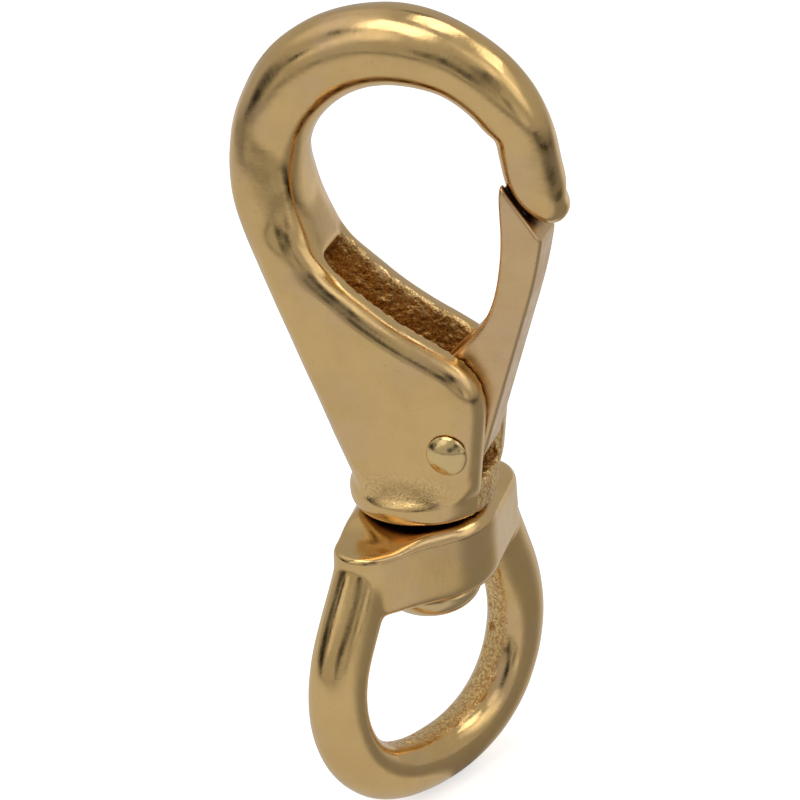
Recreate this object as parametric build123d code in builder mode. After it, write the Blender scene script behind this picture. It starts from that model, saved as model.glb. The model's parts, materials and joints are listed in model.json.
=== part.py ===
"""Swivel-eye snap hook in cast brass: hook body, sprung gate on a rivet, and an eye that turns on a stud.

Millimetres. +Z is the swivel axis and points from the eye to the hook; the hook lies in the XZ plane with
its gate on the +X side; Y runs through the thickness. Heights are drawn from the underside of the body, and
the files are written with their origin on the swivel axis at the height of the bowl's centre.
"""

from build123d import *

import os
from math import acos, atan2, copysign, cos, pi, radians, sin, sqrt, tan

# ---- driving dimensions ------------------------------------------------------------------------

# Hook stock: an arc in the XZ plane (the bowl), a straight nose at one end, a straight spine at the other.
BOWL_X, BOWL_Z = -0.15, 45.35  # bowl centre
BOWL_RADIUS = 17.95  # to the middle of the stock
SPINE_LEAN = 20.5  # degrees between the spine and the swivel axis
SPINE_LENGTH = 28.0  # its straight run of full width
BODY_WIDE = 16.0  # body across both cheeks
SPINE_SWELL = 0.06  # the rounded spine stands this proud of the flat cheeks, each side
NOSE_THICK, NOSE_WIDE = 7.6, 7.8
NOSE_LEAN = 9.5  # degrees the nose leans outwards, going down
# Stock by degrees round the bowl from the nose: reach outwards and inwards from its middle, half its width,
# and how round its inner side is, from 1 for an ellipse down to square.
STOCK = [
    (15, NOSE_THICK / 2, NOSE_THICK / 2, NOSE_WIDE / 2, 1.0),
    (50, 4.5, 4.4, 4.7, 1.0),
    (90, 5.15, 5.2, 5.3, 1.0),
    (130, 5.4, 5.3, 5.3, 1.0),
    (155, 5.0, 5.1, 5.4, 0.9),
    (190, 4.5, 5.4, 6.8, 0.6),
    (225, 4.2, 5.2, BODY_WIDE / 2 + SPINE_SWELL, 0.55),
]

# Seat: the slanting underside of the nose, that the gate closes against.
SEAT_X, SEAT_Z = 18.45, 40.6  # a point of the seat, on the middle of the stock
SEAT_SLOPE = 42.0  # degrees below horizontal, going outwards
SEAT_GAP = 0.14
NOSE_TIP_ROUND = 2.5  # outer corner of the nose
NOSE_HEEL_ROUND = 1.4  # inner corner of the nose
NOSE_SIDE_ROUND = 3.2  # sides of the nose

# Body: cheeks, pocket and base.
LIP_TOP_Z = 38.5  # height at which the cheeks' edges leave the spine
LIP_ROUND = 3.0  # outer rounding of the cheeks' edges
CHEEK_FRONT = 10.8  # furthest the cheeks reach towards the gate
POCKET_WIDE = 7.6
POCKET_WALL = 6.0  # spine left behind the top of the pocket
POCKET_TOP_Z = 35.2
POCKET_STEP_HIGH = 3.4  # height over which the step at its top goes down to full depth
POCKET_FLOOR_Z = 4.9
POCKET_FOOT_X = -4.5  # pocket's back wall at its floor
POCKET_ROUND = 1.2
BASE_RADIUS = 9.7
BASE_HIGH = 4.3
BASE_ROUND = 2.0
BASE_TOP_ROUND = 1.2
# Half section of the waist turned above the base: radius and height.
WAIST = [(BASE_RADIUS, 0), (BASE_RADIUS, 3.2), (BASE_RADIUS + 0.9, 4.6), (13.5, 11.0)]

# Gate and its pivot.
PIVOT_X, PIVOT_Z = 6.3, 10.8
GATE_WIDE = 7.0
HUB_RADIUS = 3.9
GATE_EDGE_ROUND = 0.8
TROUGH_WIDE = 4.6
TROUGH_DEEP = 1.5
RIVET_RADIUS = 1.6
RIVET_HEAD_RADIUS = 2.9
RIVET_HEAD_HIGH = 1.5
RIVET_RIM = 0.3  # straight side of the head, below its dome
RIVET_PLAY = 0.06  # radial, in the gate's hub

# Torsion spring round the rivet, inside the gate's hollow.
WIRE_RADIUS = 0.35
COIL_RADIUS = 2.2  # to the middle of the wire
COIL_WIDE = 2.6  # between the middles of the two legs
COIL_TURNS = 3
COIL_STEPS = 44
HOLLOW_WIDE = 4.0
HOLLOW_RADIUS = 2.8
GATE_LEAN = 17.9  # degrees between the gate's outer face and the swivel axis
LEG_LENGTH = 11.5
FLOOR_LEG_X, FLOOR_LEG_Z = -2.2, 5.5  # end of the leg that bears on the pocket's floor

# Swivel: stud and eye.
EYE_TURN = 68.0  # degrees the eye stands turned from the hook's plane
EYE_LEAN = 4.4  # degrees the ring leans in its own plane, out of square with its collar
EYE_GAP = 0.35  # between body and eye
JOURNAL_RADIUS = 3.5
JOURNAL_PLAY = 0.08  # radial
TENON_RADIUS = 2.5
TAIL_RADIUS = 3.3
TAIL_HIGH = 1.3
COLLAR_RADIUS = 9.7
COLLAR_TOP, COLLAR_BOTTOM = -0.45, -11.3
COLLAR_TOP_ROUND, COLLAR_BOTTOM_ROUND = 2.0, 3.0
HEAD_RADIUS = 6.6
HEAD_TOP, HEAD_BOTTOM = -11.5, -15.8
WEB_RADIUS = 4.6  # plan radius of the collar's two ends, where the ring's legs join it
RING_STOCK = 3.88  # radius of the eye's stock
RING_HINGE_Z = -4.6  # height about which the ring leans
RING_HALF = [(11.6, -2.8), (14.4, -10.0), (18.1, -20.0), (17.7, -27.0), (13.3, -34.0)]
RING_BOTTOM = (0.0, -38.2)

HALF_BODY = BODY_WIDE / 2
CUT = 60.0  # longer than any section of the part, for cutters
SECTION_POINTS = 24


# ---- hook stock --------------------------------------------------------------------------------

LEAN_SIN, LEAN_COS = sin(radians(SPINE_LEAN)), cos(radians(SPINE_LEAN))
SPINE_TOP_X = BOWL_X - BOWL_RADIUS * LEAN_COS
SPINE_TOP_Z = BOWL_Z - BOWL_RADIUS * LEAN_SIN
SPINE_INNER = STOCK[-1][2]
BOWL_END = 180 + SPINE_LEAN  # degrees of travel from the nose to the top of the spine


def smooth(low, high, value):
    """0 below low, 1 above high, and an even S-curve between."""
    share = min(1.0, max(0.0, (value - low) / (high - low)))
    return share * share * (3 - 2 * share)


def mix(first, second, share):
    return first + (second - first) * share


def beside_spine(offset, height):
    """A point at this height, offset from the middle of the spine towards the gate."""
    return (SPINE_TOP_X + (SPINE_TOP_Z - height) * tan(radians(SPINE_LEAN)) + offset / LEAN_COS, height)


def oval(reach_out, reach_in, half_wide, roundness=1.0):
    """Points round a section that is an ellipse on its outer side and can be squarer on its inner side."""
    points = []
    for step in range(SECTION_POINTS):
        across, along = cos(2 * pi * step / SECTION_POINTS), sin(2 * pi * step / SECTION_POINTS)
        if across > 0:
            points.append((reach_out * across, half_wide * along))
        else:
            squarer = copysign(abs(along) ** roundness, along)
            points.append((-reach_in * abs(across) ** roundness, half_wide * squarer))
    return points


def across_stock(x, z, heading, tilt=0.0):
    """Plane across the stock at x, z. heading is the stock's outward side, in degrees above +X; tilt swings
    the plane's outer end down."""
    out = radians(heading - tilt)
    return Plane(origin=(x, 0, z), x_dir=(cos(out), 0, sin(out)), z_dir=(-sin(out), 0, cos(out)))


def stock_section(travel, grow=0.0):
    """Plane and outline across the stock at travel, in degrees round the bowl from the nose. Past the
    bowl's end it runs on down the straight spine."""
    turned = radians(min(travel, BOWL_END))
    run = (radians(travel) - turned) * BOWL_RADIUS
    x = BOWL_X + BOWL_RADIUS * cos(turned) - run * sin(turned)
    z = BOWL_Z + BOWL_RADIUS * sin(turned) + run * cos(turned)
    size = STOCK[0][1:]
    for (start, *first), (end, *second) in zip(STOCK, STOCK[1:]):
        if travel > start:
            share = smooth(start, end, travel)
            size = [mix(one, other, share) for one, other in zip(first, second)]
    reach_out, reach_in, half_wide, roundness = size
    outline = oval(reach_out + grow, reach_in + grow, half_wide + grow, roundness)
    return across_stock(x, z, min(travel, BOWL_END)), outline


def rounding(radius, height):
    """How far a rounding of this radius has drawn in, this far above the flat it runs into."""
    left = radius - min(height, radius)
    return radius - sqrt(radius**2 - left**2)


def nose_end(height, grow):
    """Plane and outline of the nose's end, parallel to the seat and this far above it. The outline rounds
    the outer corner, the inner corner and the two sides into the seat."""
    slope, skew = radians(SEAT_SLOPE), radians(SEAT_SLOPE + NOSE_LEAN)
    half = NOSE_THICK / 2 / cos(skew)
    shift = height * tan(skew)
    corner = pi / 2 - skew
    tip_height = NOSE_TIP_ROUND * (1 + cos(corner))
    tip_middle = half - NOSE_TIP_ROUND / tan(corner / 2)
    reach_out = half - shift
    if height < tip_height:
        reach_out = tip_middle + sqrt(NOSE_TIP_ROUND**2 - (NOSE_TIP_ROUND - height) ** 2)
    reach_in = half + shift - rounding(NOSE_HEEL_ROUND, height)
    half_wide = NOSE_WIDE / 2 - rounding(NOSE_SIDE_ROUND, height)
    middle = (reach_out - reach_in) / 2
    reach = (reach_out + reach_in) / 2 + grow
    x = SEAT_X + middle * cos(slope) + (height - grow) * sin(slope)
    z = SEAT_Z - middle * sin(slope) + (height - grow) * cos(slope)
    return across_stock(x, z, 0, SEAT_SLOPE), oval(reach, reach, half_wide + grow)


def nose_sections(grow=0.0):
    """Sections from the seat up the straight nose and into the bowl, turning from the seat to square."""
    sections = [nose_end(height, grow) for height in (0.15, 0.6, 1.3, 2.2, 3.2, 4.3)]
    for rise, tilt in ((6.9, 30), (8.9, 20), (11.3, 9)):
        x = SEAT_X - rise * sin(radians(NOSE_LEAN))
        z = SEAT_Z + rise * cos(radians(NOSE_LEAN))
        half = NOSE_THICK / 2 / cos(radians(tilt)) + grow
        sections.append((across_stock(x, z, NOSE_LEAN, tilt), oval(half, half, NOSE_WIDE / 2 + grow)))
    return sections + [stock_section(travel, grow) for travel in (31, 40, 50)]


def section_face(plane, outline):
    """The section's face, bounded by two curves that meet at its inner and outer ends."""
    middle = SECTION_POINTS // 2
    with BuildSketch(plane) as section:
        with BuildLine():
            Spline(*outline[: middle + 1], tangents=[(0, 1), (0, -1)])
            Spline(*outline[middle:], outline[0], tangents=[(0, -1), (0, 1)])
        make_face()
    return section.sketch.face()


def loft_of(sections):
    """Smooth solid through a list of planes and outlines."""
    with BuildPart() as lofted:
        loft([section_face(plane, outline) for plane, outline in sections])
    return lofted.part


# ---- hook body ---------------------------------------------------------------------------------

with BuildPart() as cheeks:
    with BuildSketch(Plane.XZ):
        with BuildLine():
            lip = Spline(
                beside_spine(SPINE_INNER - 0.5, LIP_TOP_Z),
                (-7.9, 33.2),
                (-0.3, 27.2),
                (6.9, 23.2),
                tangents=[(0.35, -0.94), (0.86, -0.52)],
            )
            corner = TangentArc(lip @ 1, (CHEEK_FRONT, 15.6), tangent=lip % 1)
            Polyline(
                corner @ 1,
                (BASE_RADIUS - 0.6, BASE_HIGH / 2),
                beside_spine(0, BASE_HIGH / 2),
                beside_spine(0, LIP_TOP_Z),
                lip @ 0,
            )
        make_face()
    extrude(amount=HALF_BODY, both=True)
    rims = cheeks.edges().filter_by(lambda edge: abs(edge.center().Y) > HALF_BODY - 0.01)
    rims = rims.filter_by(lambda edge: edge.center().X > beside_spine(4, edge.center().Z)[0])
    fillet(rims.filter_by(lambda edge: edge.center().Z > BASE_HIGH), LIP_ROUND)

with BuildPart() as base:
    with BuildSketch(Plane.XZ):
        with BuildLine():
            rim = Line((0, 0), (BASE_RADIUS - BASE_ROUND, 0))
            lower = TangentArc(rim @ 1, (BASE_RADIUS, BASE_ROUND), tangent=(1, 0))
            side = Line(lower @ 1, (BASE_RADIUS, BASE_HIGH - BASE_TOP_ROUND))
            upper = TangentArc(side @ 1, (BASE_RADIUS - BASE_TOP_ROUND, BASE_HIGH), tangent=(0, 1))
            Polyline(upper @ 1, (0, BASE_HIGH), (0, 0))
        make_face()
    revolve(axis=Axis.Z)

with BuildPart() as pocket:
    with BuildSketch(Plane.XZ):
        with BuildLine():
            Polyline(
                beside_spine(SPINE_INNER + 8, 43),
                beside_spine(SPINE_INNER - 0.4, POCKET_TOP_Z),
                beside_spine(POCKET_WALL - SPINE_INNER, POCKET_TOP_Z - POCKET_STEP_HIGH),
                (POCKET_FOOT_X, POCKET_FLOOR_Z),
                (CUT, POCKET_FLOOR_Z),
                (CUT, 30),
                close=True,
            )
        make_face()
    extrude(amount=POCKET_WIDE / 2, both=True)
    corners = pocket.edges().filter_by(lambda edge: abs(edge.center().Y) > POCKET_WIDE / 2 - 0.01)
    back = corners.filter_by(lambda edge: edge.center().X < beside_spine(4, edge.center().Z)[0])
    fillet(back, POCKET_ROUND)

with BuildPart() as hook_body:
    bowl = [stock_section(travel) for travel in range(60, 231, 10)]
    add(loft_of(nose_sections() + bowl))
    extrude(section_face(*bowl[-1]), amount=SPINE_LENGTH)
    add(cheeks.part)
    with BuildSketch(Plane.XZ):
        with BuildLine():
            Polyline(*WAIST, (CUT, WAIST[-1][1]), (CUT, 0), close=True)
        make_face()
    revolve(axis=Axis.Z, mode=Mode.SUBTRACT)
    add(base.part)
    add(pocket.part, mode=Mode.SUBTRACT)
    with BuildSketch(Plane.XZ):
        with Locations((PIVOT_X, PIVOT_Z)):
            Circle(RIVET_RADIUS)
    extrude(amount=BODY_WIDE, both=True, mode=Mode.SUBTRACT)
    with BuildSketch(Plane.XZ):
        with BuildLine():
            Polyline(
                (0, -1),
                (TENON_RADIUS, -1),
                (TENON_RADIUS, POCKET_FLOOR_Z - TAIL_HIGH),
                (TAIL_RADIUS, POCKET_FLOOR_Z),
                (0, POCKET_FLOOR_Z),
                close=True,
            )
        make_face()
    revolve(axis=Axis.Z, mode=Mode.SUBTRACT)
hook_body.part.label = "hook_body"

# ---- gate --------------------------------------------------------------------------------------

GATE_SIN, GATE_COS = sin(radians(GATE_LEAN)), cos(radians(GATE_LEAN))


def beside_gate(offset, length):
    """A point length up the gate from the pivot, offset from it towards the gate's outer face."""
    x = PIVOT_X + offset * GATE_COS + length * GATE_SIN
    return (x, PIVOT_Z - offset * GATE_SIN + length * GATE_COS)


hollow_start = beside_gate(HOLLOW_RADIUS * sin(radians(50)), -HOLLOW_RADIUS * cos(radians(50)))

with BuildPart() as gate:
    with BuildSketch(Plane.XZ):
        with BuildLine():
            back = Line(beside_gate(HUB_RADIUS, 0), beside_gate(HUB_RADIUS, 22))
            bend = TangentArc(back @ 1, (18.9, 39.2), tangent=back % 1)
            seat = Line(bend @ 1, (13.75, 46.6))
            inner = Spline(
                seat @ 1,
                (13.4, 40.2),
                (12.9, 34.8),
                (11.0, 28.4),
                (6.9, 23.4),
                (3.0, 18.9),
                (PIVOT_X - HUB_RADIUS, PIVOT_Z),
                tangents=[(-0.3, -0.95), (0, -1)],
            )
            TangentArc(inner @ 1, back @ 0, tangent=(0, -1))
        make_face()
    extrude(amount=GATE_WIDE / 2, both=True)
    rims = gate.edges().filter_by(lambda edge: abs(edge.center().Y) > GATE_WIDE / 2 - 0.01)
    fillet(rims.filter_by(lambda edge: edge.center().Z < 41), GATE_EDGE_ROUND)
    add(loft_of(nose_sections(SEAT_GAP)), mode=Mode.SUBTRACT)
    with BuildSketch(Plane(origin=seat @ 0.5, x_dir=(0, 1, 0), z_dir=(seat % 0.5).cross(Vector(0, 1, 0)))):
        Rectangle(TROUGH_WIDE, CUT)
    extrude(amount=-TROUGH_DEEP, mode=Mode.SUBTRACT)
    with BuildSketch(Plane.XZ):
        with BuildLine():
            Polyline(
                beside_gate(HOLLOW_RADIUS, 0),
                beside_gate(HOLLOW_RADIUS, 12.2),
                beside_gate(HOLLOW_RADIUS - 2.4, 13.0),
                beside_gate(-CUT, 4.5),
                beside_gate(-CUT, -CUT),
                (hollow_start[0], -CUT),
                hollow_start,
            )
            RadiusArc(hollow_start, beside_gate(HOLLOW_RADIUS, 0), -HOLLOW_RADIUS)
        make_face()
    extrude(amount=HOLLOW_WIDE / 2, both=True, mode=Mode.SUBTRACT)
    with BuildSketch(Plane.XZ):
        with Locations((PIVOT_X, PIVOT_Z)):
            Circle(RIVET_RADIUS + RIVET_PLAY)
    extrude(amount=GATE_WIDE, both=True, mode=Mode.SUBTRACT)
gate.part.label = "gate"

# ---- rivet and spring --------------------------------------------------------------------------

with BuildPart() as gate_pivot_rivet:
    with BuildSketch(Plane(origin=(PIVOT_X, 0, PIVOT_Z), x_dir=(0, 1, 0), z_dir=(0, 0, 1))):
        with BuildLine():
            crown = HALF_BODY + RIVET_HEAD_HIGH
            rim = HALF_BODY + RIVET_RIM
            TangentArc((-crown, 0), (-rim, -RIVET_HEAD_RADIUS), tangent=(0, -1))
            Polyline(
                (-rim, -RIVET_HEAD_RADIUS),
                (-HALF_BODY, -RIVET_HEAD_RADIUS),
                (-HALF_BODY, -RIVET_RADIUS),
                (HALF_BODY, -RIVET_RADIUS),
                (HALF_BODY, -RIVET_HEAD_RADIUS),
                (rim, -RIVET_HEAD_RADIUS),
            )
            TangentArc((crown, 0), (rim, -RIVET_HEAD_RADIUS), tangent=(0, -1))
            Line((-crown, 0), (crown, 0))
        make_face()
    revolve(axis=Axis((PIVOT_X, 0, PIVOT_Z), (0, 1, 0)))
gate_pivot_rivet.part.label = "gate_pivot_rivet"


def spring_middle():
    """Middle of the wire: a straight leg to the pocket's floor, the coil, a straight leg up the gate."""
    reach_x, reach_z = FLOOR_LEG_X - PIVOT_X, FLOOR_LEG_Z - PIVOT_Z
    start = atan2(reach_z, reach_x) + acos(COIL_RADIUS / sqrt(reach_x**2 + reach_z**2))
    turned = 2 * pi * COIL_TURNS - radians(GATE_LEAN) - start
    start_x, start_z = PIVOT_X + COIL_RADIUS * cos(start), PIVOT_Z + COIL_RADIUS * sin(start)
    points = []
    for share in (0.0, 0.3, 0.6, 0.85):
        points.append((mix(FLOOR_LEG_X, start_x, share), -COIL_WIDE / 2, mix(FLOOR_LEG_Z, start_z, share)))
    for step in range(COIL_STEPS + 1):
        angle = start + turned * step / COIL_STEPS
        y = COIL_WIDE * (step / COIL_STEPS - 0.5)
        points.append((PIVOT_X + COIL_RADIUS * cos(angle), y, PIVOT_Z + COIL_RADIUS * sin(angle)))
    for share in (0.12, 0.35, 0.65, 1.0):
        x, z = beside_gate(COIL_RADIUS, LEG_LENGTH * share)
        points.append((x, COIL_WIDE / 2, z))
    return points


with BuildPart() as gate_spring:
    with BuildLine():
        wire = Spline(*spring_middle())
    with BuildSketch(Plane(origin=wire @ 0, z_dir=wire % 0)):
        Circle(WIRE_RADIUS)
    sweep()
gate_spring.part.label = "gate_spring"

# ---- swivel ------------------------------------------------------------------------------------

with BuildPart() as swivel_stud:
    with BuildSketch(Plane.XZ):
        with BuildLine():
            Polyline(
                (0, POCKET_FLOOR_Z),
                (TAIL_RADIUS, POCKET_FLOOR_Z),
                (TENON_RADIUS, POCKET_FLOOR_Z - TAIL_HIGH),
                (TENON_RADIUS, 0),
                (JOURNAL_RADIUS, 0),
                (JOURNAL_RADIUS, HEAD_TOP),
                (HEAD_RADIUS - 1.0, HEAD_TOP),
            )
            shoulder_start, shoulder_end = (HEAD_RADIUS - 1.0, HEAD_TOP), (HEAD_RADIUS, HEAD_TOP - 1.6)
            shoulder = TangentArc(shoulder_start, shoulder_end, tangent=(1, 0))
            button = TangentArc(shoulder @ 1, (HEAD_RADIUS - 3.0, HEAD_BOTTOM + 0.25), tangent=shoulder % 1)
            Spline(button @ 1, (0, HEAD_BOTTOM), tangents=[button % 1, (-1, 0)])
            Line((0, HEAD_BOTTOM), (0, POCKET_FLOOR_Z))
        make_face()
    revolve(axis=Axis.Z)
swivel_stud.part.label = "swivel_stud"

TURN_SIN, TURN_COS = sin(radians(EYE_TURN)), cos(radians(EYE_TURN))
LEAN = radians(EYE_LEAN)
COLLAR_PLANE = Plane(origin=(0, 0, COLLAR_BOTTOM), x_dir=(TURN_COS, TURN_SIN, 0), z_dir=(0, 0, 1))
RING_PLANE = Plane(
    origin=(0, 0, RING_HINGE_Z),
    x_dir=(TURN_COS * cos(LEAN), TURN_SIN * cos(LEAN), -sin(LEAN)),
    z_dir=(TURN_SIN, -TURN_COS, 0),
)

with BuildPart() as swivel_eye:
    with BuildSketch(COLLAR_PLANE):
        Circle(COLLAR_RADIUS)
        with Locations((-RING_HALF[0][0], 0), (RING_HALF[0][0], 0)):
            Circle(WEB_RADIUS)
        make_hull()
    extrude(amount=COLLAR_TOP - COLLAR_BOTTOM)
    fillet(swivel_eye.edges().group_by(Axis.Z)[-1], COLLAR_TOP_ROUND)
    fillet(swivel_eye.edges().group_by(Axis.Z)[0], COLLAR_BOTTOM_ROUND)
    left = [(-x, z - RING_HINGE_Z) for x, z in RING_HALF]
    right = [(x, z - RING_HINGE_Z) for x, z in reversed(RING_HALF)]
    with BuildLine(RING_PLANE):
        ring = Spline(*left, (RING_BOTTOM[0], RING_BOTTOM[1] - RING_HINGE_Z), *right)
    with BuildSketch(Plane(origin=ring @ 0, z_dir=ring % 0)):
        Circle(RING_STOCK)
    sweep(path=ring)
    with Locations(ring @ 0, ring @ 1):
        Sphere(RING_STOCK)
    with BuildSketch(Plane.XZ):
        with BuildLine():
            under = Line((0, 0), (BASE_RADIUS - BASE_ROUND, 0))
            round_under = TangentArc(under @ 1, (BASE_RADIUS, BASE_ROUND), tangent=(1, 0))
            Polyline(round_under @ 1, (BASE_RADIUS, 9), (0, 9), (0, 0))
        make_face()
        offset(amount=EYE_GAP)
        split(bisect_by=Plane.YZ)
    revolve(axis=Axis.Z, mode=Mode.SUBTRACT)
    with BuildSketch(Plane.XY.offset(COLLAR_BOTTOM - 1)):
        Circle(JOURNAL_RADIUS + JOURNAL_PLAY)
    extrude(amount=-COLLAR_BOTTOM + 2, mode=Mode.SUBTRACT)
swivel_eye.part.label = "swivel_eye"

# ---- files -------------------------------------------------------------------------------------

os.makedirs("parts", exist_ok=True)
for piece in (hook_body, gate, gate_pivot_rivet, gate_spring, swivel_stud, swivel_eye):
    placed = piece.part.moved(Location((0, 0, -BOWL_Z)))
    export_step(placed, f"parts/{piece.part.label}.step")
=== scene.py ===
"""Looks for a cast brass swivel snap hook.

Every piece but the spring gets a skin grown from its CAD solid; the spring keeps its own wire. A skin
is a signed distance field of the CAD node, softened like a tumbled casting, with the marks of its
making cut into it (sand-cast grain, pits, hand-filed waves), and meshed again. Lengths are in metres
unless a name says otherwise.
"""

import json
import math

import bpy
import numpy as np
import openvdb as vdb
from mathutils import Matrix, Vector

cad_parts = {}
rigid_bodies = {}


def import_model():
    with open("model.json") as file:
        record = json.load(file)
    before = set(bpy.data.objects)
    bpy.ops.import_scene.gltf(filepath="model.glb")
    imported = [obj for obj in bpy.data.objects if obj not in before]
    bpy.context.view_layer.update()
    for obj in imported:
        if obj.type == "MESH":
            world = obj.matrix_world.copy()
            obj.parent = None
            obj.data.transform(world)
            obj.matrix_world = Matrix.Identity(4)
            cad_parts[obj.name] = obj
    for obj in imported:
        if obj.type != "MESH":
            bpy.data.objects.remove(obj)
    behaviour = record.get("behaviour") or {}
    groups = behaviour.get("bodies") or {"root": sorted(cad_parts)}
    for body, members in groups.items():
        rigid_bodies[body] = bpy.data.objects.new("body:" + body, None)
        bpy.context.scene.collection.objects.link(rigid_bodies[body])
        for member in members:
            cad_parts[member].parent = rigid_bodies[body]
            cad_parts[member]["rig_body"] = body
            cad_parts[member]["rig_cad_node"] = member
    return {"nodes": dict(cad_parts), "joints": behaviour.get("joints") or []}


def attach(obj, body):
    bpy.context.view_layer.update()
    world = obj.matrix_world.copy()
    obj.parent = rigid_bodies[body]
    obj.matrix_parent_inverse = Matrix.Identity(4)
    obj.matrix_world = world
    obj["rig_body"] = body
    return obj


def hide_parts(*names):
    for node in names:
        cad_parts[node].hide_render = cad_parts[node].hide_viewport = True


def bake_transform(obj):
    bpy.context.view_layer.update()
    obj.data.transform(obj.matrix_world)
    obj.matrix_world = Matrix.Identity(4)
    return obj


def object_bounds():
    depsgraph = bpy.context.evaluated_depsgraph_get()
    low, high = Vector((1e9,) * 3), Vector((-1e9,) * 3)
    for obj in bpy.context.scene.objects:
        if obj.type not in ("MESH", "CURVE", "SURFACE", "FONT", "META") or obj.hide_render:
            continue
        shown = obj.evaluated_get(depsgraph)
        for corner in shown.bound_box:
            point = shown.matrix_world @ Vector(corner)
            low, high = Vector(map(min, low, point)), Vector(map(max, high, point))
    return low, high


MM = 0.001

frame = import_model()
cad_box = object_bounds()
nodes = frame["nodes"]
joints = {joint["name"]: joint for joint in frame["joints"]}

PIVOT = np.array(joints["gate_pivot"]["pos_m"])
PIVOT_HIGH = 10.8 * MM
# The foot is the underside of the hook body, on the swivel axis. Heights in this script start there.
FOOT = np.array((0, 0, PIVOT[2] - PIVOT_HIGH))
OBJECT_LOW = np.array(cad_box[0])

VOXEL = 0.2 * MM
BAND = 7  # voxels of true distance each side of a surface
PIVOT_HOLE_RADIUS = 1.66 * MM
JOURNAL_HOLE_RADIUS = 3.58 * MM
POCKET_HALF_WIDE = 3.8 * MM
POCKET_TOP_Z, POCKET_FLOOR_Z = 35.2 * MM, 4.9 * MM
POCKET_FOOT_X = -4.5 * MM
POCKET_BACK_SLOPE = 0.26  # how far the pocket's back wall leans away from the gate, per unit of height
EYE_ALONG = (math.cos(math.radians(68)), math.sin(math.radians(68)))
RING_MIDDLE_Z = -22 * MM
COLLAR_TOP_Z = -0.45 * MM


# ---- fields ------------------------------------------------------------------------------------


class Field:
    """A signed distance field on a regular grid: negative inside, in metres."""

    def __init__(self, obj):
        mesh = obj.data
        mesh.calc_loop_triangles()
        points = np.zeros(len(mesh.vertices) * 3, np.float32)
        mesh.vertices.foreach_get("co", points)
        triangles = np.zeros(len(mesh.loop_triangles) * 3, np.int32)
        mesh.loop_triangles.foreach_get("vertices", triangles)
        points = points.reshape(-1, 3)
        margin = BAND + 4
        self.origin = np.floor(points.min(0) / VOXEL).astype(int) - margin
        shape = np.ceil(points.max(0) / VOXEL).astype(int) + margin - self.origin
        grid = vdb.FloatGrid.createLevelSetFromPolygons(
            (points / VOXEL).astype(np.float32),
            triangles=triangles.reshape(-1, 3).astype(np.uint32),
            transform=vdb.createLinearTransform(voxelSize=1.0),
            halfWidth=float(BAND),
        )
        values = np.zeros(shape, np.float32)
        grid.copyToArray(values, ijk=tuple(int(i) for i in self.origin))
        self.values = values * VOXEL

    def axes(self):
        """x, y and height above the foot of the grid's points, ready to broadcast over the grid."""
        steps = [(self.origin[i] + np.arange(self.values.shape[i])) * VOXEL for i in range(3)]
        x, y, z = np.meshgrid(*steps, indexing="ij", sparse=True)
        return x.astype(np.float32), y.astype(np.float32), (z - FOOT[2]).astype(np.float32)

    def mesh(self, name, grit=None):
        """A smooth-shaded object of the field's surface, with normals taken from the field. grit says
        where the casting's raw skin is left, as a function of x, y and z."""
        grid = vdb.FloatGrid(BAND * VOXEL)
        grid.copyFromArray(np.ascontiguousarray(self.values))
        points, quads = grid.convertToQuads(isovalue=0.0)
        points = points.astype(np.float64)
        for _ in range(3):
            value, slope = self.sample(points)
            points -= slope * (value / np.maximum((slope**2).sum(1), 0.05))[:, None]
        normals = self.sample(points)[1]
        normals /= np.linalg.norm(normals, axis=1)[:, None] + 1e-12
        points = (points + self.origin) * VOXEL
        mesh = bpy.data.meshes.new(name)
        mesh.from_pydata(points.tolist(), [], quads.tolist())
        mesh.validate()
        mesh.shade_smooth()
        obj = bpy.data.objects.new(name, mesh)
        bpy.context.scene.collection.objects.link(obj)
        if len(mesh.vertices) == len(points):
            mesh.normals_split_custom_set_from_vertices(normals.tolist())
        raw = mesh.attributes.new("grit", "FLOAT", "POINT")
        if grit:
            raw.data.foreach_set("value", grit(*(points - FOOT).T).astype(np.float32))
        return obj

    def sample(self, points):
        """Value in voxels and slope of the field at points given in grid steps."""
        cell = np.clip(np.floor(points).astype(int), 0, np.array(self.values.shape) - 2)
        share = points - cell
        corner = np.zeros((len(points), 2, 2, 2))
        for i in range(2):
            for j in range(2):
                for k in range(2):
                    corner[:, i, j, k] = self.values[cell[:, 0] + i, cell[:, 1] + j, cell[:, 2] + k]
        corner /= VOXEL
        slope = np.zeros((len(points), 3))
        for axis in range(3):
            low, high = corner.take(0, axis + 1), corner.take(1, axis + 1)
            others = [share[:, i] for i in range(3) if i != axis]
            slope[:, axis] = bilinear(high - low, *others)
        low, high = corner[:, 0], corner[:, 1]
        value = bilinear(low + (high - low) * share[:, 0, None, None], share[:, 1], share[:, 2])
        return value, slope


def bilinear(square, first, second):
    low = square[:, 0, 0] * (1 - second) + square[:, 0, 1] * second
    high = square[:, 1, 0] * (1 - second) + square[:, 1, 1] * second
    return low * (1 - first) + high * first


def blurred(values, sigma):
    """Gaussian blur of a grid, sigma in metres."""
    reach = int(math.ceil(3 * sigma / VOXEL))
    steps = np.arange(-reach, reach + 1)
    kernel = np.exp(-0.5 * (steps * VOXEL / sigma) ** 2)
    kernel = (kernel / kernel.sum()).astype(np.float32)
    for axis in range(3):
        size = values.shape[axis]
        padded = np.concatenate(
            [values.take([0] * reach, axis), values, values.take([size - 1] * reach, axis)], axis
        )
        total = np.zeros_like(values)
        for step, weight in enumerate(kernel):
            part = [slice(None)] * 3
            part[axis] = slice(step, step + size)
            total += weight * padded[tuple(part)]
        values = total
    return values


def smooth(low, high, value):
    """0 below low, 1 above high, and an even S-curve between."""
    share = np.clip((value - low) / (high - low), 0, 1)
    return share * share * (3 - 2 * share)


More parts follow.
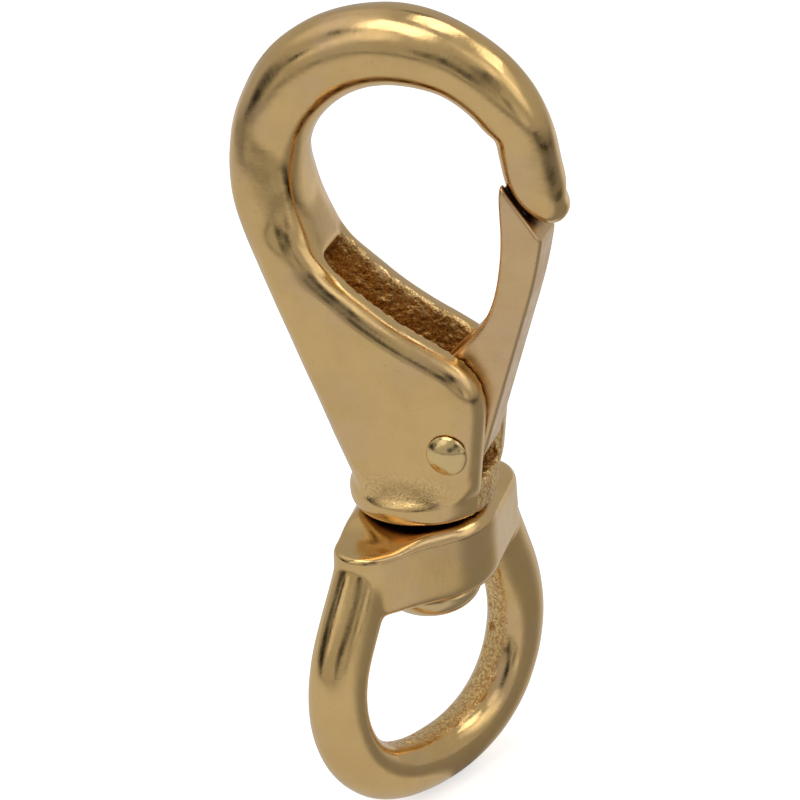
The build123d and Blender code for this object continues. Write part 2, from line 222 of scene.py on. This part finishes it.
def grain(shape, sigma, seed):
    """Even random bumps of unit deviation and about this size, on a grid."""
    rough = np.random.default_rng(seed).standard_normal(shape, dtype=np.float32)
    rough = blurred(rough, sigma)
    return rough / rough.std()


def keep_bore(field, distance_from_axis, radius, beyond=-1.0):
    """Cuts a bore back to its true size. beyond is how far a point lies past the bore's end, if any."""
    field.values = np.maximum(field.values, np.minimum(radius - distance_from_axis, -beyond))


# ---- castings ----------------------------------------------------------------------------------


def in_pocket(x, y, z):
    """1 on the walls and floor of the pocket, 0 on every polished surface."""
    between_cheeks = smooth(POCKET_HALF_WIDE + 0.6 * MM, POCKET_HALF_WIDE + 0.2 * MM, np.abs(y))
    from_back = x - POCKET_FOOT_X + (z - POCKET_FLOOR_Z) * POCKET_BACK_SLOPE
    in_front_of_back = smooth(-1.6 * MM, -0.4 * MM, from_back)
    below_lip = smooth(POCKET_TOP_Z + 0.3 * MM, POCKET_TOP_Z - 1.2 * MM, z)
    return between_cheeks * in_front_of_back * below_lip


def uneven(shape, seed):
    """Slight waves that filing and buffing by hand leave in a casting."""
    return 0.022 * MM * grain(shape, 1.5 * MM, seed)


def on_ledge(y, z):
    """1 where the cheeks run out onto the base."""
    between = smooth(2.6 * MM, 4.2 * MM, z) * smooth(8 * MM, 5.6 * MM, z)
    return between * smooth(6.4 * MM, 7.6 * MM, np.abs(y))


def left_raw(x, y, z):
    """Where the hook body keeps its sand-cast grain: all of it in the pocket, a little on the ledge."""
    middle = smooth(8 * MM, 4 * MM, np.abs(x))
    return np.maximum(in_pocket(x, y, z), 0.35 * on_ledge(y, z) * middle)


def on_shoulder(x, y, z):
    """1 where the cheeks grow out of the spine."""
    between = smooth(30 * MM, 35 * MM, z) * smooth(50 * MM, 44 * MM, z)
    return between * smooth(4.6 * MM, 6.4 * MM, np.abs(y)) * smooth(-3 * MM, -7 * MM, x)


def hook_body_skin():
    field = Field(nodes["hook_body"])
    x, y, z = field.axes()
    soft = blurred(field.values, 0.42 * MM)
    softer = blurred(field.values, 1.3 * MM)
    field.values = soft + (softer - soft) * np.maximum(on_shoulder(x, y, z), on_ledge(y, z))
    rough = grain(field.values.shape, 0.22 * MM, 4)
    coarse = grain(field.values.shape, 0.55 * MM, 5)
    field.values += in_pocket(x, y, z) * (0.05 * rough + 0.045 * coarse) * MM
    field.values += uneven(field.values.shape, 11)
    keep_bore(field, np.hypot(x - PIVOT[0], z - PIVOT_HIGH), PIVOT_HOLE_RADIUS)
    return field.mesh("hook_body_casting", left_raw)


def gate_skin():
    field = Field(nodes["gate"])
    x, _, z = field.axes()
    field.values = blurred(field.values, 0.22 * MM)
    keep_bore(field, np.hypot(x - PIVOT[0], z - PIVOT_HIGH), PIVOT_HOLE_RADIUS)
    return field.mesh("gate_casting")


def ring_places(x, y, z):
    """Places on the eye: along its width, across its plane and up, all from the middle of its ring."""
    along = x * EYE_ALONG[0] + y * EYE_ALONG[1]
    across = x * EYE_ALONG[1] - y * EYE_ALONG[0]
    return along, across, z - RING_MIDDLE_Z


def inside_ring(x, y, z):
    """1 on the unpolished strip round the inside of the ring, 0 elsewhere."""
    along, across, up = ring_places(x, y, z)
    radius = np.hypot(along, up * 1.05)
    strip = smooth(2.2 * MM, 1.1 * MM, np.abs(across + 0.4 * MM))
    lower = smooth(0.35, -0.25, up / (radius + 1e-6) - 0.9 * smooth(0, 8 * MM, along))
    return strip * smooth(16.0 * MM, 14.9 * MM, radius) * lower


def swivel_eye_skin():
    field = Field(nodes["swivel_eye"])
    x, y, z = field.axes()
    from_axis = np.hypot(x, y)
    knuckle_filed = 1.3 * MM * smooth(-6 * MM, -12 * MM, ring_places(x, y, z)[0])
    field.values = np.maximum(field.values, z - COLLAR_TOP_Z + knuckle_filed)
    field.values = blurred(field.values, 0.45 * MM)
    pits = grain(field.values.shape, 0.4 * MM, 7)
    field.values += uneven(field.values.shape, 12)
    field.values += inside_ring(x, y, z) * (0.1 * np.maximum(pits, 0) ** 1.5) * MM
    keep_bore(field, from_axis, JOURNAL_HOLE_RADIUS, beyond=-14 * MM - z)
    return field.mesh("swivel_eye_casting", inside_ring)


def turned_skin(node, name):
    """Skin of a piece that was turned or headed rather than cast."""
    field = Field(nodes[node])
    field.values = blurred(field.values, 0.2 * MM)
    return field.mesh(name)


def spring_skin():
    """The spring's own wire, copied out of its CAD node and shaded smooth."""
    obj = nodes["gate_spring"].copy()
    obj.data = obj.data.copy()
    obj.name = "torsion_spring"
    obj.parent = None
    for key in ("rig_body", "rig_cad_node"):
        if key in obj:
            del obj[key]
    bpy.context.scene.collection.objects.link(obj)
    obj.data.shade_smooth()
    return obj


# ---- materials ---------------------------------------------------------------------------------


class Nodes:
    """Short forms for building a material's node tree."""

    def __init__(self, name):
        self.material = bpy.data.materials.new(name)
        self.material.use_nodes = True
        self.tree = self.material.node_tree
        self.shader = self.tree.nodes["Principled BSDF"]

    def node(self, kind, **settings):
        node = self.tree.nodes.new("ShaderNode" + kind)
        for key, value in settings.items():
            setattr(node, key, value)
        return node

    def put(self, socket, value):
        if isinstance(value, bpy.types.NodeSocket):
            self.tree.links.new(value, socket)
        else:
            socket.default_value = value

    def noise(self, scale, detail, stretch=(1, 1, 1)):
        """Noise over the object's own space, in features per metre."""
        place = self.node("TexCoord")
        mapping = self.node("Mapping")
        self.put(mapping.inputs["Vector"], place.outputs["Object"])
        mapping.inputs["Scale"].default_value = stretch
        texture = self.node("TexNoise")
        self.put(texture.inputs["Vector"], mapping.outputs["Vector"])
        texture.inputs["Scale"].default_value = scale
        texture.inputs["Detail"].default_value = detail
        texture.inputs["Roughness"].default_value = 0.55
        return texture.outputs["Fac"]

    def ramp(self, value, low, high, out_low=0.0, out_high=1.0):
        """value from low..high spread over out_low..out_high."""
        node = self.node("MapRange", interpolation_type="SMOOTHSTEP")
        self.put(node.inputs["Value"], value)
        numbers = {"From Min": low, "From Max": high, "To Min": out_low, "To Max": out_high}
        for key, number in numbers.items():
            self.put(node.inputs[key], number)
        return node.outputs["Result"]

    def math(self, operation, first, second):
        node = self.node("Math", operation=operation)
        self.put(node.inputs[0], first)
        self.put(node.inputs[1], second)
        return node.outputs[0]

    def mix(self, share, first, second, blend="MIX"):
        node = self.node("Mix", data_type="RGBA", blend_type=blend)
        self.put(node.inputs[0], share)
        self.put(node.inputs[6], first)
        self.put(node.inputs[7], second)
        return node.outputs[2]

    def bump(self, height, distance, strength=1.0, normal=None):
        node = self.node("Bump")
        self.put(node.inputs["Height"], height)
        node.inputs["Distance"].default_value = distance
        node.inputs["Strength"].default_value = strength
        if normal is not None:
            self.put(node.inputs["Normal"], normal)
        return node.outputs["Normal"]


def brass(name, color, dark, roughness, scratch=1.0):
    """Hand-polished cast brass: mottled tone, hazy patches, fine specks and buffing scratches, painted
    reflection and painted shade in the crevices (orange for brass reflecting brass, dark brown in the
    deepest), and where grit is left, the raw sand-cast skin."""
    b = Nodes(name)
    tone = b.ramp(b.noise(180, 3), 0.35, 0.68)
    specks = b.ramp(b.noise(2600, 2), 0.62, 0.75)
    patches = b.ramp(b.noise(420, 5), 0.38, 0.66)
    base = b.mix(b.math("MULTIPLY", tone, 0.25), (*color, 1), (*dark, 1))
    base = b.mix(b.ramp(b.noise(95, 3), 0.46, 0.66, 0.0, 0.4), base, (0.80, 0.56, 0.36, 1))
    base = b.mix(b.math("MULTIPLY", specks, 0.22), base, (*[c * 0.55 for c in dark], 1))
    # painted reflection and painted shade: where the AO finds a crevice the colour is painted orange,
    # standing for brass reflecting brass
    ao = b.node("AmbientOcclusion", samples=8)
    ao.inputs["Distance"].default_value = 2.2 * MM
    painted_crevice_reflection = b.ramp(ao.outputs["AO"], 0.7, 0.2)
    base = b.mix(b.math("MULTIPLY", painted_crevice_reflection, 0.5), base, (0.50, 0.25, 0.075, 1))
    # painted shade: the deepest crevices are painted dark brown
    base = b.mix(b.ramp(ao.outputs["AO"], 0.58, 0.2, 0.0, 0.85), base, (0.15, 0.08, 0.04, 1))
    grit = b.node("Attribute", attribute_name="grit").outputs["Fac"]
    raw = b.mix(b.ramp(b.noise(2600, 3), 0.4, 0.6), (1.0, 0.74, 0.34, 1), (0.66, 0.39, 0.15, 1))
    base = b.mix(grit, base, raw)
    b.put(b.shader.inputs["Base Color"], base)
    b.shader.inputs["Metallic"].default_value = 1.0
    rough = b.math("ADD", roughness, b.math("MULTIPLY", patches, 0.12))
    b.put(b.shader.inputs["Roughness"], b.math("ADD", rough, b.math("MULTIPLY", grit, 0.12)))
    across = b.noise(1500, 2, stretch=(0.25, 1.0, 1.6))
    along = b.noise(2300, 2, stretch=(1.3, 1.0, 0.22))
    fine = b.noise(5200, 2)
    normal = b.bump(across, 0.006 * MM * scratch)
    normal = b.bump(along, 0.006 * MM * scratch, normal=normal)
    normal = b.bump(fine, 0.0025 * MM * scratch, normal=normal)
    normal = b.bump(b.noise(330, 2), 0.05 * MM, 0.6, normal=normal)
    normal = b.bump(b.math("MULTIPLY", b.noise(3600, 2), grit), 0.2 * MM, normal=normal)
    b.put(b.shader.inputs["Normal"], normal)
    return b.material


def spring_steel():
    """Drawn stainless wire with a fine bump all over."""
    b = Nodes("spring_steel")
    tone = b.ramp(b.noise(900, 3), 0.35, 0.7)
    b.put(b.shader.inputs["Base Color"], b.mix(tone, (0.60, 0.60, 0.62, 1), (0.42, 0.41, 0.42, 1)))
    b.shader.inputs["Metallic"].default_value = 1.0
    b.put(b.shader.inputs["Roughness"], b.ramp(b.noise(2000, 3), 0.3, 0.7, 0.25, 0.42))
    b.put(b.shader.inputs["Normal"], b.bump(b.noise(6000, 2), 0.004 * MM))
    return b.material


def paint(obj, material):
    obj.data.materials.clear()
    obj.data.materials.append(material)


# ---- the object --------------------------------------------------------------------------------

CAST = dict(color=(0.86, 0.59, 0.255), dark=(0.66, 0.41, 0.155))


def show(skin, node, body, material):
    """Puts a skin in the place of its CAD node, on its body."""
    paint(skin, material)
    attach(skin, body)
    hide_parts(node)


hook_brass = brass("cast_brass", **CAST, roughness=0.13)
gate_brass = brass("gate_brass", (0.84, 0.58, 0.30), (0.70, 0.45, 0.22), 0.24)
eye_brass = brass("eye_brass", **CAST, roughness=0.11)
rivet_brass = brass("rivet_brass", (0.88, 0.66, 0.30), (0.72, 0.48, 0.18), 0.12, scratch=0.6)
stud_brass = brass("stud_brass", (0.86, 0.64, 0.30), (0.70, 0.46, 0.18), 0.14, scratch=0.7)

show(hook_body_skin(), "hook_body", "hook", hook_brass)
show(gate_skin(), "gate", "gate", gate_brass)
show(swivel_eye_skin(), "swivel_eye", "eye", eye_brass)
rivet = turned_skin("gate_pivot_rivet", "rivet")
show(rivet, "gate_pivot_rivet", "hook", rivet_brass)
stud = turned_skin("swivel_stud", "stud")
show(stud, "swivel_stud", "hook", stud_brass)

spring = spring_skin()
wire_steel = spring_steel()
paint(spring, wire_steel)
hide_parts("gate_spring")
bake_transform(spring)
for node in nodes.values():
    paint(node, wire_steel if node.name == "gate_spring" else hook_brass)


# ---- studio ------------------------------------------------------------------------------------

CAMERA_AZIMUTH, CAMERA_ELEVATION, CAMERA_ROLL = 20.0, 27.0, 4.0  # degrees; azimuth 0 looks along +Y
CAMERA_DISTANCE = 0.5
CAMERA_LENS, CAMERA_SENSOR = 171.7, 36.0
AIM_RIGHT, AIM_UP = -3.28 * MM, 12.84 * MM  # middle of the picture from the foot, across and up it

STUDIO_MIDDLE = Vector(FOOT) + Vector((0, 0, 0.015))
STUDIO_RADIUS = 0.7
FLOOR_HALF = 3.0
FLOOR_SEEN = 0.62  # what the floor gives off to the camera; the rest of these are what the brass sees
FLOOR_NEAR, FLOOR_FAR, FLOOR_BEHIND = 0.45, 0.17, 0.2
FLOOR_SHADE, FLOOR_SHADE_AZIMUTH = 0.3, 12  # the floor lies in shade on this side of the object
ROOM_LIGHT, ROOM_DARKEST = 0.42, 0.02
WORLD_LIGHT = [
    # azimuth, elevation, width, strength; a negative strength is a dark screen
    (-119, 41, 20, 0.55),
    (-134, 22, 14, 0.3),
    (-113, -14, 14, 0.22),
    (-28, 46, 16, 0.55),
    (-4, 27, 20, 0.5),
    (12, 38, 16, 0.45),
    (-36, 3, 12, 0.2),
    (172, 52, 30, 0.3),
    (-45, 33, 11, -0.3),
    (-58, 28, 13, -0.38),
    (-72, 17, 12, -0.25),
    (-86, 11, 12, -0.34),
    (-50, 9, 9, -0.2),
    (-160, 2, 22, -0.4),
    (-144, 19, 7, -0.5),
    (-148, 48, 9, -0.4),
    (90, 54, 14, -0.25),
]


def build_camera():
    azimuth, elevation = math.radians(CAMERA_AZIMUTH), math.radians(CAMERA_ELEVATION)
    level = math.cos(elevation)
    forward = Vector((-math.sin(azimuth) * level, math.cos(azimuth) * level, -math.sin(elevation)))
    location = Vector(FOOT) - CAMERA_DISTANCE * forward
    right = Vector((math.cos(azimuth), math.sin(azimuth), 0))
    up = right.cross(forward)
    roll = Matrix.Rotation(math.radians(CAMERA_ROLL), 3, forward)
    right, up = roll @ right, roll @ up
    aim = (Vector(FOOT) + right * AIM_RIGHT + up * AIM_UP - location).normalized()
    side = aim.cross(up).normalized()
    top = side.cross(aim)
    camera = bpy.data.objects.new("camera", bpy.data.cameras.new("camera"))
    camera.data.lens = CAMERA_LENS
    camera.data.sensor_width = CAMERA_SENSOR
    camera.matrix_world = Matrix.Translation(location) @ Matrix((side, top, -aim)).transposed().to_4x4()
    bpy.context.scene.collection.objects.link(camera)
    bpy.context.scene.camera = camera


def aimed(azimuth, elevation):
    """Unit direction at this azimuth from +X and this elevation, in degrees."""
    azimuth, elevation = math.radians(azimuth), math.radians(elevation)
    level = math.cos(elevation)
    return Vector((math.cos(azimuth) * level, math.sin(azimuth) * level, math.sin(elevation)))


def panel(name, azimuth, elevation, size, brightness):
    """A softbox that faces the object. size is in metres, brightness is its radiance."""
    light = bpy.data.objects.new(name, bpy.data.lights.new(name, "AREA"))
    light.data.shape = "RECTANGLE"
    light.data.size, light.data.size_y = size
    light.data.energy = brightness * math.pi * size[0] * size[1]
    light.data.color = (1.0, 0.98, 0.95)
    light.location = STUDIO_MIDDLE + aimed(azimuth, elevation) * STUDIO_RADIUS
    light.rotation_euler = (STUDIO_MIDDLE - light.location).to_track_quat("-Z", "Y").to_euler()
    bpy.context.scene.collection.objects.link(light)


def build_floor():
    """A pale floor. The camera sees it white; the brass sees a painted glow in its place: a little
    greyer, with a painted pool of light behind the object, darker far off and painted shade on one
    side."""
    mesh = bpy.data.meshes.new("floor")
    half = FLOOR_HALF
    corners = [(-half, -half, 0), (half, -half, 0), (half, half, 0), (-half, half, 0)]
    mesh.from_pydata(corners, [], [(0, 1, 2, 3)])
    floor = bpy.data.objects.new("floor", mesh)
    floor.location.z = OBJECT_LOW[2] - 0.5 * MM
    bpy.context.scene.collection.objects.link(floor)
    f = Nodes("floor")
    f.shader.inputs["Roughness"].default_value = 0.9
    f.shader.inputs["Specular IOR Level"].default_value = 0.1
    camera_ray = f.node("LightPath").outputs["Is Camera Ray"]
    paint_color = f.mix(camera_ray, (0.15, 0.15, 0.15, 1), (0.9, 0.9, 0.9, 1))
    f.put(f.shader.inputs["Base Color"], paint_color)
    place = f.node("TexCoord").outputs["Object"]
    away = f.node("VectorMath", operation="LENGTH")
    f.put(away.inputs[0], place)
    # the first two numbers of the next two ramps are metres along the floor
    around = f.ramp(away.outputs["Value"], 0.3, 0.85, FLOOR_NEAR, FLOOR_FAR)
    split = f.node("SeparateXYZ")
    f.put(split.inputs[0], place)
    behind = f.ramp(split.outputs["Y"], 0.08, 0.5, 0.0, FLOOR_BEHIND)
    heading = f.node("VectorMath", operation="NORMALIZE")
    f.put(heading.inputs[0], place)
    towards = f.node("VectorMath", operation="DOT_PRODUCT")
    f.put(towards.inputs[0], heading.outputs["Vector"])
    towards.inputs[1].default_value = aimed(FLOOR_SHADE_AZIMUTH, 0)
    shade = f.ramp(towards.outputs["Value"], 0.6, 0.97, 0.0, FLOOR_SHADE)
    # painted light: the glow the brass sees stands in for light falling on the floor, with a painted
    # pool of light behind the object and painted shade on the FLOOR_SHADE_AZIMUTH side
    glow = f.math("SUBTRACT", f.math("ADD", around, behind), shade)
    f.put(f.shader.inputs["Emission Color"], (1, 1, 1, 1))
    f.put(f.shader.inputs["Emission Strength"], f.ramp(camera_ray, 0, 1, glow, FLOOR_SEEN))
    floor.data.materials.append(f.material)


def build_world():
    """An even room with soft pools of light and darker screens in it."""
    world = bpy.data.worlds.new("studio")
    bpy.context.scene.world = world
    world.use_nodes = True
    tree = world.node_tree
    background = tree.nodes["Background"]

    def joined(operation, first, second):
        node = tree.nodes.new("ShaderNodeMath")
        node.operation = operation
        tree.links.new(first, node.inputs[0])
        if isinstance(second, float):
            node.inputs[1].default_value = second
        else:
            tree.links.new(second, node.inputs[1])
        return node.outputs[0]

    def pool(azimuth, elevation, width, strength):
        """Light round a direction that fades over width, in degrees."""
        dot = tree.nodes.new("ShaderNodeVectorMath")
        dot.operation = "DOT_PRODUCT"
        tree.links.new(place, dot.inputs[0])
        dot.inputs[1].default_value = aimed(azimuth, elevation)
        fade = tree.nodes.new("ShaderNodeMapRange")
        fade.interpolation_type = "SMOOTHSTEP"
        tree.links.new(dot.outputs["Value"], fade.inputs["Value"])
        fade.inputs["From Min"].default_value = math.cos(math.radians(width))
        fade.inputs["From Max"].default_value = 1.0
        fade.inputs["To Max"].default_value = strength
        return fade.outputs["Result"]

    place = tree.nodes.new("ShaderNodeTexCoord").outputs["Generated"]
    total = pool(*WORLD_LIGHT[0])
    for light in WORLD_LIGHT[1:]:
        total = joined("ADD", total, pool(*light))
    total = joined("ADD", total, ROOM_LIGHT)
    tree.links.new(joined("MAXIMUM", total, ROOM_DARKEST), background.inputs["Strength"])
    background.inputs["Color"].default_value = (1.0, 0.99, 0.97, 1)


build_camera()
build_floor()
build_world()
panel("overhead", -115, 72, (0.46, 0.32), 1.9)
panel("right_top", 22, 50, (0.26, 0.2), 1.5)
panel("back_right", 64, 66, (0.22, 0.26), 1.9)
bpy.context.scene.view_settings.view_transform = "Standard"
